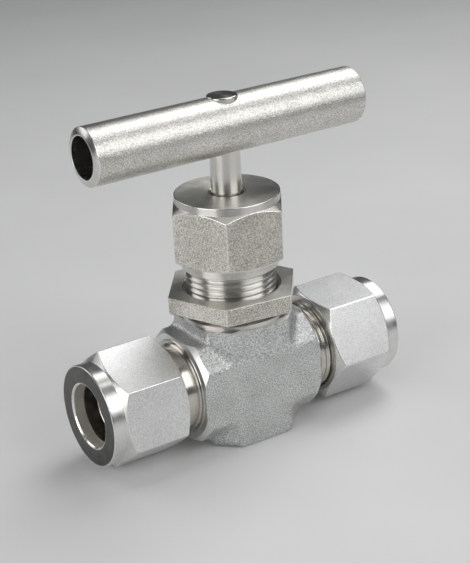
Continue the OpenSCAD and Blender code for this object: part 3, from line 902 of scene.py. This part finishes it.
# ---------------------------------------------------------------- handle bar and stem
def make_handle_bar():
    low, high = span("handle_bar")
    centre = Matrix.Translation((0, 0, (low.z + high.z) / 2))
    half, r = (high.x - low.x) / 2, (high.y - low.y) / 2
    depth = half - BAR_BORE_DEPTH
    piece = lathe("handle_bar_piece", [
        (0, -depth, 0, TURNED), (BAR_BORE_R, -depth, 0, TURNED),
        (BAR_BORE_R, -half, BAR_MOUTH_EDGE, TURNED), (BAR_END_R, -half, BAR_EDGE, TURNED),
        (r, -half + BAR_BEVEL, BAR_EDGE, FLAT), (r, half - BAR_BEVEL, BAR_EDGE, TURNED),
        (BAR_END_R, half, BAR_EDGE, TURNED), (BAR_BORE_R, half, BAR_MOUTH_EDGE, TURNED),
        (BAR_BORE_R, depth, 0, TURNED), (0, depth, 0, TURNED)],
        BAR_FINISHES, LOCAL @ centre @ ALONG_X, segments=BAR_SEGMENTS)
    stem_hole = drill(STEM_R + RUN_GAP, -BAR_HOLE_REACH, BAR_HOLE_REACH)
    screw_hole = drill(SET_SCREW_R, 0, depth + PAST)
    boolean(piece, cutter("bar_hole", stem_hole, centre, BAR_FINISHES), "DIFFERENCE")
    boolean(piece, cutter("screw_hole", screw_hole, centre @ TO_LEFT, BAR_FINISHES), "DIFFERENCE")
    piece.data.transform(PLACE)
    smooth_shaded(piece.data)
    return settle(piece, "handle", "handle_bar")


def make_stem():
    """The stem: a socket for the needle tip, the thread, and the polished rod with a domed end."""
    low, high = span("stem")
    foot, top = low.z, high.z
    socket_top = foot + TIP_SOCKET_DEPTH
    shoulder = PACKING_FLOOR - STEM_SHOULDER_GAP
    thread_top = shoulder - STEM_SHOULDER_EDGE
    edge = STEM_FOOT_EDGE
    below = [
        (0, socket_top), (TIP_SOCKET_R, socket_top), (TIP_SOCKET_R, foot + edge),
        (TIP_SOCKET_R + edge, foot), (STEM_FOOT_R - edge, foot), (STEM_FOOT_R, foot + edge),
        (STEM_FOOT_R, STEM_THREAD_FROM - edge), (STEM_THREAD_ROOT_R, STEM_THREAD_FROM)]
    thread = STEM_THREAD_FROM, thread_top, STEM_THREAD_ROOT_R, STEM_THREAD_R
    dome = [(STEM_R - inset, top - drop) for inset, drop in STEM_DOME]
    above = [(STEM_THREAD_ROOT_R, thread_top), (STEM_SHOULDER_R, shoulder), (STEM_R, shoulder),
             *dome, (0, top)]
    piece = threaded("stem_piece", below, thread, above, STEM_FINISHES)
    return settle(piece, "handle", "stem")


# ---------------------------------------------------------------- pieces kept from the frame
KEPT = {
    TURNED_Z: ("packing_support_ring", "packing_gland"),
    POLISHED: ("needle_tip",),
    DARK_STEEL: ("tip_retaining_pin", "handle_set_screw"),
    PTFE: ("packing_bottom_adapter", "packing_v_ring_1", "packing_v_ring_2", "packing_v_ring_3",
           "packing_top_adapter"),
    TURNED_X: ("left_front_ferrule", "left_back_ferrule", "right_front_ferrule",
               "right_back_ferrule")}


def finish_kept_nodes():
    for material, nodes in KEPT.items():
        for node in nodes:
            cover(frame["nodes"][node], (material,))


# ---------------------------------------------------------------- floor, lights and camera
FLOOR_TONES = (0.76, 0.765, 0.76), (0.80, 0.805, 0.80)
FLOOR_MOTTLE = 60.0
FLOOR_SIZE = 8
LIGHT_TARGET = Vector((0, 0, 0.035))
# Softboxes: position and size in metres, and radiance
SOFTBOXES = {
    "overhead": ((0.28, 0.11, 0.44), (0.30, 0.38), 2.8),
    "front_right": ((0.19, -0.37, 0.31), (0.46, 0.34), 2.1),
    "back_left": ((-0.30, 0.40, 0.30), (0.34, 0.34), 1.4),
    "top": ((-0.02, -0.03, 0.55), (0.34, 0.34), 0.9),
    "left_side": ((-0.46, -0.11, 0.18), (0.36, 0.28), 2.9)}
WORLD_COLOUR = (0.78, 0.82, 0.84, 1)
WORLD_STRENGTH = 0.08
# Camera: where it stands about its target, how far it is, and its lens
CAMERA_AZIMUTH, CAMERA_ELEVATION, CAMERA_ROLL = (math.radians(a) for a in (-32.72, 22.56, -3.01))
CAMERA_DISTANCE = 0.32288
CAMERA_TARGET = Vector((0.000845, 0, (19.62 + AXIS_H) * MM))
LENS, SENSOR = 98.18, 36


def make_floor():
    m = Nodes("pale_floor", metallic=0.0)
    mottle = m.noise(FLOOR_MOTTLE, detail=3)
    m.link(m.tones(m.spread(mottle, 0, 1), *FLOOR_TONES), m.shader.inputs["Base Color"])
    m.shader.inputs["Roughness"].default_value = 0.6
    bpy.ops.mesh.primitive_plane_add(size=FLOOR_SIZE)
    floor = bpy.context.object
    floor.name = "floor"
    cover(floor, (m.material,))
    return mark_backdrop(floor)


def softbox(name, position, size, radiance):
    """A rectangular lamp of a given radiance, turned to the valve."""
    light = bpy.data.lights.new(name, "AREA")
    light.shape = "RECTANGLE"
    light.size, light.size_y = size
    light.energy = radiance * math.pi * size[0] * size[1]
    lamp = bpy.data.objects.new(name, light)
    bpy.context.scene.collection.objects.link(lamp)
    lamp.location = position
    lamp.rotation_euler = (LIGHT_TARGET - Vector(position)).to_track_quat("-Z", "Y").to_euler()
    lamp.visible_camera = False


def light_studio():
    world = bpy.data.worlds.new("studio")
    world.use_nodes = True
    background = world.node_tree.nodes["Background"]
    background.inputs["Color"].default_value = WORLD_COLOUR
    background.inputs["Strength"].default_value = WORLD_STRENGTH
    bpy.context.scene.world = world
    for name, settings in SOFTBOXES.items():
        softbox(name, *settings)


def add_camera():
    level = math.cos(CAMERA_ELEVATION)
    back = Vector((math.sin(CAMERA_AZIMUTH) * level, -math.cos(CAMERA_AZIMUTH) * level,
                   math.sin(CAMERA_ELEVATION)))
    right = (-back).cross(Vector((0, 0, 1))).normalized()
    up = right.cross(-back)
    side = math.cos(CAMERA_ROLL) * right + math.sin(CAMERA_ROLL) * up
    top = -math.sin(CAMERA_ROLL) * right + math.cos(CAMERA_ROLL) * up
    camera = bpy.data.objects.new("camera", bpy.data.cameras.new("camera"))
    bpy.context.scene.collection.objects.link(camera)
    camera.matrix_world = Matrix.Translation(CAMERA_TARGET + back * CAMERA_DISTANCE) @ Matrix(
        (side, top, back)).transposed().to_4x4()
    camera.data.lens = LENS
    camera.data.sensor_width = SENSOR
    camera.data.clip_start = 0.01
    bpy.context.scene.camera = camera


# ---------------------------------------------------------------- the scene
make_body()
make_packing_nut()
make_panel_nut()
make_tube_nut("left", -LEFT_NUT_TURN, TO_LEFT)
make_tube_nut("right", RIGHT_NUT_TURN, ALONG_X)
make_handle_bar()
make_stem()
finish_kept_nodes()
make_floor()
light_studio()
add_camera()
bpy.context.scene.view_settings.view_transform = "Standard"
